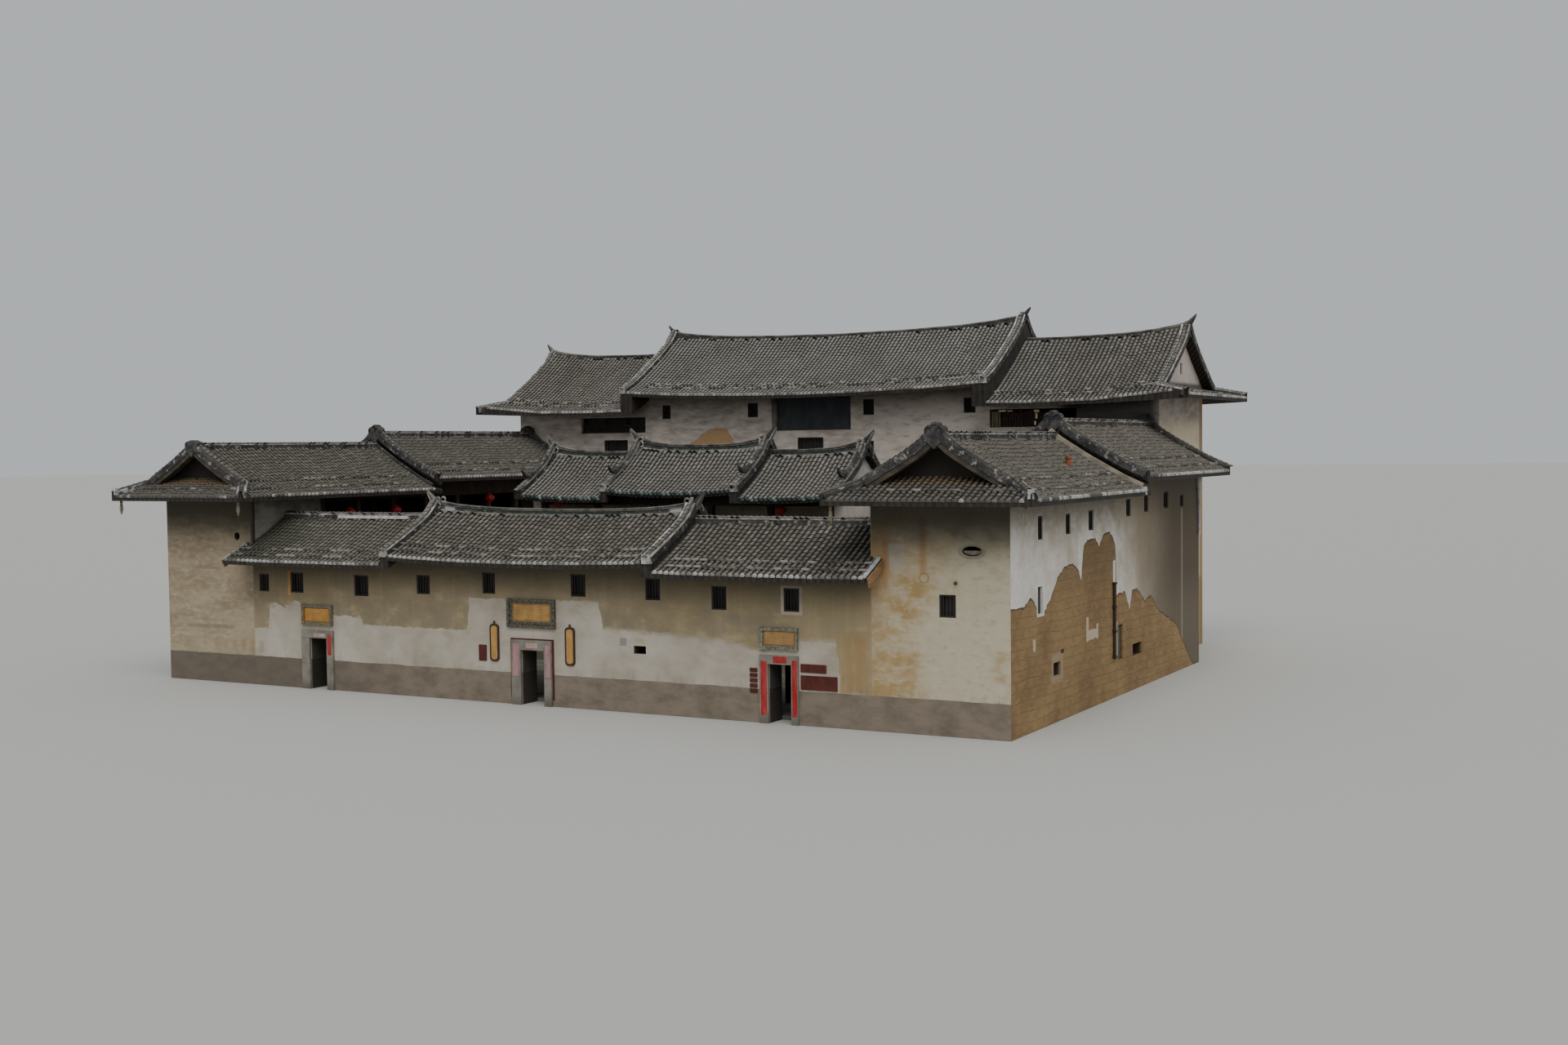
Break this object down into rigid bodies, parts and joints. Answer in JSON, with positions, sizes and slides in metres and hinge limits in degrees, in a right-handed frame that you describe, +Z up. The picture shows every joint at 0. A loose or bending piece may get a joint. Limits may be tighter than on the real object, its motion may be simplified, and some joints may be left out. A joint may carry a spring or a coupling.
{
  "type": "half-size rectangular tulou house",
  "caption": "Walled earth house at half size: a low entrance hall between two gabled wings, a middle hall in the courtyard and a tall rear building, all with sagging tile roofs.",
  "frame": {"origin": "on the ground, under the middle of the roofs' outline", "axes": "+X to the right along the front, +Y back into the house, +Z up"},
  "size_m": [24.75, 19.77, 9.716],
  "materials": {
    "earth": "stained lime plaster on rammed earth",
    "plaster": "weathered white lime plaster",
    "stone": "dressed grey stone",
    "board": "varnished wooden board",
    "timber": "old dark timber",
    "tile": "weathered grey clay tile",
    "ridge": "mortared tile ridge with glazed openwork"
  },
  "bodies": {
    "root": {"hall_front_wall_left": "earth", "hall_front_wall_centre": "earth", "hall_front_wall_right": "earth", "left_wing_front_wall": "earth", "right_wing_front_wall": "earth", "rear_front_wall": "earth", "rear_back_wall": "earth", "left_wing_side_wall": "plaster", "right_wing_side_wall": "plaster", "middle_hall_left_gable": "plaster", "middle_hall_right_gable": "plaster", "middle_hall_back_wall": "plaster", "rear_left_end_wall": "plaster", "rear_right_end_wall": "plaster", "courtyard_floor": "stone", "left_door_surround": "stone", "centre_door_surround": "stone", "right_door_surround": "stone", "left_name_board": "board", "centre_name_board": "board", "right_name_board": "board", "verse_board_left": "board", "verse_board_right": "board", "hall_upper_floor": "timber", "hall_courtyard_frame": "timber", "left_wing_gallery_frame": "timber", "right_wing_gallery_frame": "timber", "left_wing_floor_2": "timber", "left_wing_floor_3": "timber", "right_wing_floor_2": "timber", "right_wing_floor_3": "timber", "middle_hall_front_frame": "timber", "rear_floor_3": "timber", "rear_floor_4": "timber", "rear_floor_5": "timber", "hall_left_roof": "tile", "hall_centre_roof": "tile", "hall_right_roof": "tile", "left_wing_front_roof": "tile", "left_wing_pent_roof": "tile", "left_wing_rear_roof": "tile", "right_wing_front_roof": "tile", "right_wing_pent_roof": "tile", "right_wing_rear_roof": "tile", "middle_hall_left_roof": "tile", "middle_hall_centre_roof": "tile", "middle_hall_right_roof": "tile", "rear_left_roof": "tile", "rear_centre_roof": "tile", "rear_right_roof": "tile", "rear_left_pent_roof": "tile", "rear_right_pent_roof": "tile", "hall_ridge": "ridge", "middle_hall_centre_ridge": "ridge", "middle_hall_left_ridge": "ridge", "middle_hall_right_ridge": "ridge", "rear_centre_ridge": "ridge", "rear_left_ridge": "ridge", "rear_right_ridge": "ridge"}
  },
  "joints": []
}
